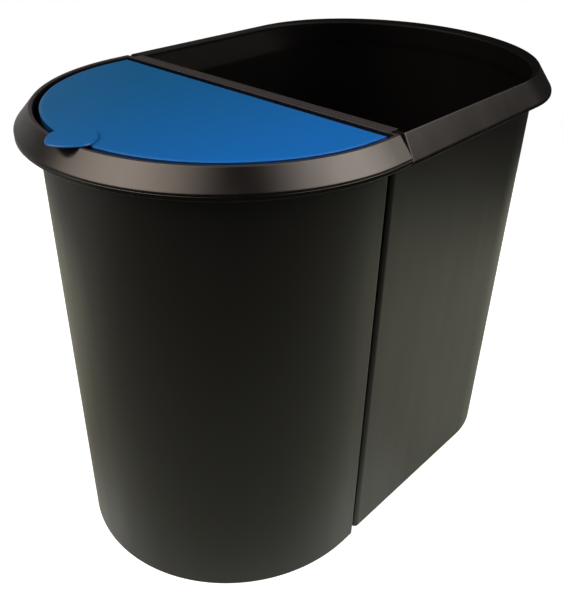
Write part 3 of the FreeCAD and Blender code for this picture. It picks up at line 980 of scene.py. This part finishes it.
# %% [markdown]
# The thumb tab is a low oval pad that stands over the tip, a little more pointed
# than an ellipse. Where it lies over the lid it runs into the lid's top with a
# small hollow round, and where it reaches past the lid it has a free edge. It is
# a stack of rings, and each ring's height follows how far a point lies inside
# the lid's edge.

# %% The thumb tab
TAB_X = TIP_X + 6.4 * MM
TAB_ALONG, TAB_ACROSS = 16.8 * MM, 16.4 * MM
TAB_LOW, TAB_HIGH = PEAK_Z + 0.35 * MM, lid_high.z
TAB_ROUND = 1.4 * MM
TAB_POWER = 2 / 1.6
TAB_COLUMNS, TAB_ROUND_STEPS = 96, 6


def inside_lid(x, y):
    """Distance inside the lid's curved edge, roughly, in metres."""
    middle_x = SEAM_X - SMALL_STRAIGHT
    along, across = (x - middle_x) / (SMALL_END - LID_IN), y / (HALF - LID_IN)
    return (1.0 - math.hypot(along, across)) * (HALF - LID_IN)


def tab_rings():
    """Steps (inset, height, how far the ring may sink to the lid)."""
    steps = []
    for step in range(TAB_ROUND_STEPS + 1):
        turn = math.pi / 2 * step / TAB_ROUND_STEPS
        inset = TAB_ROUND * (1.0 - math.sin(turn))
        steps.append((inset, TAB_HIGH - TAB_ROUND * (1.0 - math.cos(turn)), 0.0))
    free_edge = [(0.0, TAB_LOW + 0.25 * MM, 0.0), (0.0, TAB_LOW, 0.5)]
    return steps + free_edge + [(-0.35 * MM, TAB_LOW, 1.0)]


def make_tab():
    work = bmesh.new()
    rings = []
    for inset, z, sink in tab_rings():
        ring = []
        for i in range(TAB_COLUMNS):
            angle = 2.0 * math.pi * i / TAB_COLUMNS
            along, across = (math.copysign(abs(value) ** TAB_POWER, value)
                             for value in (math.cos(angle), math.sin(angle)))
            within = inside_lid(TAB_X + TAB_ALONG * along, TAB_ACROSS * across)
            over = min(1.0, max(0.0, within / (2.0 * MM)))
            size_in = inset if inset > 0.0 else inset * over
            x = TAB_X + (TAB_ALONG - size_in) * along
            y = (TAB_ACROSS - size_in) * across
            low_z = z - sink * over * (TAB_LOW - LID_Z + 0.2 * MM)
            ring.append(work.verts.new((x, y, low_z)))
        rings.append(ring)
    for upper, lower in zip(rings, rings[1:]):
        for i in range(TAB_COLUMNS):
            j = (i + 1) % TAB_COLUMNS
            work.faces.new((upper[i], upper[j], lower[j], lower[i]))
    work.faces.new(rings[0])
    work.faces.new(rings[-1])
    mesh = bpy.data.meshes.new("tab")
    work.to_mesh(mesh)
    work.free()
    clean(mesh)
    return add_object("tab", mesh)


# %% [markdown]
# Two short pins stand out of the sides of the lid on the hinge axis and turn in
# blind holes of the collar. They are plain rods with a soft edge, and each
# grows out of a thicker boss under the rolled edge.

# %% The hinge pins
PIN, PIN_REACH = 1.5 * MM, 4.4 * MM
BOSS, BOSS_LENGTH = 3.2 * MM, 8.0 * MM
RECESS_Y = HALF - RECESS_IN
LID_Y = HALF - LID_IN


def rod(name, radius, y0, y1):
    """A rod along Y on the hinge axis."""
    work = bmesh.new()
    bmesh.ops.create_cone(work, cap_ends=True, segments=32,
                          radius1=radius, radius2=radius, depth=abs(y1 - y0))
    for vertex in work.verts:
        x, y, z = vertex.co
        vertex.co = (HINGE_X + x, (y0 + y1) / 2 + z, HINGE_Z + y)
    mesh = bpy.data.meshes.new(name)
    work.to_mesh(mesh)
    work.free()
    return bevelled(add_object(name, mesh), 0.3 * MM, 3)


parts = [make_tab()]
for side in (-1, 1):
    parts.append(rod("pin", PIN, side * (LID_Y - 4.0 * MM), side * (RECESS_Y + PIN_REACH)))
    parts.append(rod("boss", BOSS, side * (LID_Y - BOSS_LENGTH), side * (LID_Y - 0.3 * MM)))
join(lid_visual, *parts)
print("lid with tab and pins:", len(lid_visual.data.polygons), "faces")

# %% [markdown]
# ## Handing the pieces to their bodies
#
# Each moulding stands for one solid and rides on that solid's body. Weighted
# normals keep the large faces flat and give all the bend to the small rounds.

# %% Ride, replace and print the finish
def finish_piece(piece, node, body):
    weigh = piece.modifiers.new("Flat Faces", "WEIGHTED_NORMAL")
    weigh.weight = 80
    mesh = freeze(piece)
    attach(piece, body)
    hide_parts(node)
    print(piece.name, "stands for", node, "with", [m.name for m in mesh.materials])


finish_piece(large_visual, "large_bin", "large")
finish_piece(small_visual, "small_bin", "small")
finish_piece(collar_visual, "lid_collar", "collar")
finish_piece(lid_visual, "lid", "flap")

# %% [markdown]
# ## Floor, light and camera
#
# Black satin plastic has almost no colour of its own, so what shows is the room
# in it. The highlights on the rim say where the light came from: a large soft
# source to the left, another to the right, and nothing bright behind the camera
# or behind the bins. The walls lean a little, so they mirror the board that the
# bins stand on, which is why they are paler towards the foot. The camera itself
# sees that board as plain white.

# %% Directions and shader pairs
CAMERA_AZIMUTH = -139.8


def ahead(azimuth):
    """The level direction at an angle from the camera's own, in degrees."""
    turn = math.radians(CAMERA_AZIMUTH + azimuth)
    return Vector((math.cos(turn), math.sin(turn), 0.0))


def along(tree, place, direction):
    """How far a place lies along a direction."""
    product = tree.nodes.new("ShaderNodeVectorMath")
    product.operation = "DOT_PRODUCT"
    product.inputs[1].default_value = direction
    tree.links.new(place, product.inputs[0])
    return Number(tree, product.outputs["Value"])


def add_shaders(tree, first, second):
    both = tree.nodes.new("ShaderNodeAddShader")
    tree.links.new(first.outputs[0], both.inputs[0])
    tree.links.new(second.outputs[0], both.inputs[1])
    return both


def split_rays(tree, mirrored, seen, surface):
    """The camera sees one shader, and every other ray meets the other one."""
    path = tree.nodes.new("ShaderNodeLightPath")
    blend = tree.nodes.new("ShaderNodeMixShader")
    tree.links.new(path.outputs["Is Camera Ray"], blend.inputs[0])
    tree.links.new(mirrored.outputs[0], blend.inputs[1])
    tree.links.new(seen.outputs[0], blend.inputs[2])
    tree.links.new(blend.outputs[0], surface)


print("camera looks from azimuth", CAMERA_AZIMUTH)

# %% [markdown]
# The board is a greenish grey card, painted darker towards the camera as painted
# shade on the floor in front. Round the foot of the bins it also glows a little,
# as painted light, which lights the walls from below as the pale floor does in the
# photograph. The glow fades with the distance from the oval, and with the distance
# from a line across it.

# %% Floor
BOARD_FRONT, BOARD_BACK, BOARD_SIDE = 0.80, 0.70, 0.62
# the card darkens towards its front as painted shade
CARD_BACK, SHADED_CARD_FRONT, CARD_END = (0.70, 0.82, 0.73), (0.05, 0.055, 0.05), 0.8
CARD_FADE = ((0.19, 0.40), (0.48, 0.17))
OVAL_ALONG, OVAL_ACROSS, OVAL_FADE = 0.225, 0.142, 1.7
LINE_FORWARD, LINE_FADE = 0.14, 10.0
# painted light: the board glows round the foot of the bins
FOOT_GLOW = 0.45
SEEN_GREY, SEEN_GLOW = (0.6, 0.6, 0.6, 1.0), 0.8


def add_board():
    to_camera, to_side = ahead(0.0), ahead(90.0)
    corners = ((BOARD_FRONT, -BOARD_SIDE), (BOARD_FRONT, BOARD_SIDE),
               (-BOARD_BACK, BOARD_SIDE), (-BOARD_BACK, -BOARD_SIDE))
    mesh = bpy.data.meshes.new("board")
    mesh.from_pydata([to_camera * front + to_side * side for front, side in corners],
                     [], [(0, 1, 2, 3)])
    return add_object("board", mesh)


def board_paint():
    """Card with painted shade towards the camera and a painted foot light, for the reflections.
    The camera sees white, with the shadow.
    """
    paint = bpy.data.materials.new("board card")
    paint.use_nodes = True
    tree = paint.node_tree
    tree.nodes.clear()
    place = tree.nodes.new("ShaderNodeTexCoord").outputs["Object"]
    # painted shade: the card darkens towards the camera
    forward = along(tree, place, ahead(0.0))
    tone = tree.nodes.new("ShaderNodeValToRGB")
    stops = tone.color_ramp.elements
    stops[0].position, stops[0].color = 0.0, (*CARD_BACK, 1.0)
    stops[1].position, stops[1].color = CARD_END, (*SHADED_CARD_FRONT, 1.0)
    for where, share in CARD_FADE:
        stops.new(where).color = (*(part * share for part in CARD_BACK), 1.0)
    card = tree.nodes.new("ShaderNodeBsdfDiffuse")
    forward.to(tone.inputs[0])
    tree.links.new(tone.outputs[0], card.inputs["Color"])

    # painted light: the glow round the foot of the bins
    x, y = coordinate(tree, "X") / OVAL_ALONG, coordinate(tree, "Y") / OVAL_ACROSS
    from_oval = (x * x + y * y).node("SQRT") * -OVAL_FADE + (1.0 + OVAL_FADE)
    from_line = (forward - LINE_FORWARD).node("ABSOLUTE") * -LINE_FADE + 1.0
    glow = from_oval.unit() * from_line.unit() * FOOT_GLOW
    foot_light = tree.nodes.new("ShaderNodeEmission")
    glow.to(foot_light.inputs["Strength"])

    seen = add_shaders(tree, new_node(tree, "ShaderNodeBsdfDiffuse", Color=SEEN_GREY),
                       new_node(tree, "ShaderNodeEmission", Strength=SEEN_GLOW))
    surface = tree.nodes.new("ShaderNodeOutputMaterial").inputs["Surface"]
    split_rays(tree, add_shaders(tree, card, foot_light), seen, surface)
    return paint


board = add_board()
board.data.materials.append(board_paint())
print("board:", board.data.materials[0].name)

# %% [markdown]
# The room is almost dark. Only far to the left, low down, it has a pale
# backdrop, which draws the grey edge of the rim on that side.

# %% World
ROOM_COLOUR, ROOM_LIGHT = (1.0, 0.96, 0.92, 1.0), 0.022
BACKDROP_AZIMUTH, BACKDROP_LIGHT = -112.0, 0.32
BACKDROP_EDGE, BACKDROP_BLUR = 0.55, 0.2      # its side edges, as a cosine
BACKDROP_TOP, BACKDROP_HAZE = 0.36, 0.14      # its upper edge, as a sine
world = bpy.data.worlds.new("studio")
world.use_nodes = True
bpy.context.scene.world = world
sky = world.node_tree
room = sky.nodes["Background"]
room.inputs["Color"].default_value = ROOM_COLOUR
look = sky.nodes.new("ShaderNodeTexCoord").outputs["Generated"]
rise = sky.nodes.new("ShaderNodeSeparateXYZ")
sky.links.new(look, rise.inputs[0])
low_down = ((Number(sky, rise.outputs["Z"]) * -1.0 + BACKDROP_TOP) / BACKDROP_HAZE).unit()
leftward = along(sky, look, ahead(BACKDROP_AZIMUTH))
behind_left = ((leftward - BACKDROP_EDGE) / BACKDROP_BLUR).unit()
(low_down * behind_left * BACKDROP_LIGHT + ROOM_LIGHT).to(room.inputs["Strength"])
white = new_node(sky, "ShaderNodeBackground", Color=(1.0, 1.0, 1.0, 1.0), Strength=1.0)
split_rays(sky, room, white, sky.nodes["World Output"].inputs["Surface"])
print("world:", world.name)

# %% [markdown]
# Both soft boxes aim at the middle of the rim. Their narrow spread keeps the
# light off the board and the walls, and on the bands and the lid.

# %% Lamps
RIM_MIDDLE = Vector((-0.13, -0.04, PEAK_Z))


def soft_box(name, azimuth, elevation, distance, size, spread, power, colour):
    """A soft lamp. Azimuth is counted from the camera's, both angles in degrees."""
    rise = math.radians(elevation)
    way = ahead(azimuth) * math.cos(rise) + Vector((0.0, 0.0, math.sin(rise)))
    lamp = bpy.data.lights.new(name, "AREA")
    lamp.shape = "RECTANGLE"
    lamp.size, lamp.size_y = size
    lamp.spread = math.radians(spread)
    lamp.energy = power
    lamp.color = colour
    holder = add_object(name, lamp)
    holder.location = RIM_MIDDLE + way * distance
    holder.rotation_euler = way.to_track_quat("Z", "Y").to_euler()
    print("soft box", name, "of", power, "watts")


soft_box("left", -63.0, 45.0, 1.4, (2.3, 2.0), 80.0, 18.5, (1.0, 0.83, 0.71))
soft_box("right", 86.0, 41.0, 1.4, (2.0, 1.8), 70.0, 11.5, (1.0, 0.87, 0.78))

# %% [markdown]
# The camera's place, direction, roll and lens come from a fit of the solids'
# outlines to the photograph.

# %% Camera
CAMERA_PLACE = Vector((-0.440926, -0.371939, 0.504714))
CAMERA_LOOK = Vector((0.637749, 0.564153, -0.524412))
CAMERA_ROLL = math.radians(1.238)
CAMERA_SENSOR, CAMERA_LENS = 36.0, 45.948
camera_data = bpy.data.cameras.new("camera")
camera_data.sensor_width = CAMERA_SENSOR
camera_data.lens = CAMERA_LENS
camera_data.clip_start = 0.01
camera = add_object("camera", camera_data)
camera.location = CAMERA_PLACE
camera.rotation_mode = "QUATERNION"
camera.rotation_quaternion = (CAMERA_LOOK.to_track_quat("-Z", "Y")
                              @ Quaternion((0.0, 0.0, 1.0), CAMERA_ROLL))
bpy.context.scene.camera = camera
bpy.context.scene.view_settings.view_transform = "Standard"
print("camera lens", CAMERA_LENS)
